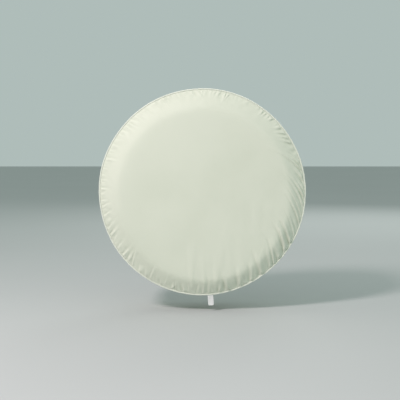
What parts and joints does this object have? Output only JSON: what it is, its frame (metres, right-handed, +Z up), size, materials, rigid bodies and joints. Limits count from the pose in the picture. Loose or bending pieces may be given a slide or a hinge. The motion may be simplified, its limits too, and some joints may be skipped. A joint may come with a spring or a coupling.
{
  "type": "spare tire cover",
  "caption": "Soft round spare tire cover with a flat face, a puckered shoulder with a piped seam, a joined band and an elastic hem behind.",
  "frame": {"origin": "on the cover's axis, in the middle plane of the tyre that it goes over", "axes": "+Z up, +Y along the cover's axis toward its open back, +X to the right of someone who looks at the face"},
  "size_m": [0.711, 0.2328, 0.7464],
  "materials": {
    "vinyl": "off-white grained vinyl on a knit backing, soft satin",
    "welt_vinyl": "thin off-white vinyl, satin",
    "cord": "twisted cotton cord, matte",
    "thread": "off-white polyester thread",
    "elastic": "white braided elastic, matte",
    "tape": "white woven tape, matte"
  },
  "bodies": {
    "cover": {"front_panel": "vinyl", "welt_cord": "cord", "welt_wrap": "welt_vinyl", "front_seam_thread": "thread", "band_left": "vinyl", "band_right": "vinyl", "top_join_stitches": "thread", "bottom_join_stitches": "thread", "rear_skirt": "vinyl", "rear_seam_thread": "thread"},
    "hem": {"hem_casing": "vinyl", "hem_elastic": "elastic", "elastic_lap_stitches": "thread", "hem_thread": "thread"},
    "tab": {"seam_tab": "tape", "tab_stitches": "thread"}
  },
  "joints": [
    {"name": "hem_pull", "type": "slide", "parent": "cover", "child": "hem", "axis": [0, 1, 0], "range_m": [0, 0.025], "stiffness_N_per_m": 150, "deforming": ["rear_skirt"]},
    {"name": "tab_swing", "type": "hinge", "parent": "cover", "child": "tab", "pos_m": [0.02737, -0.0855, -0.35565], "axis": [0.9971, 0, 0.0767], "range_deg": [-85, 85]}
  ]
}
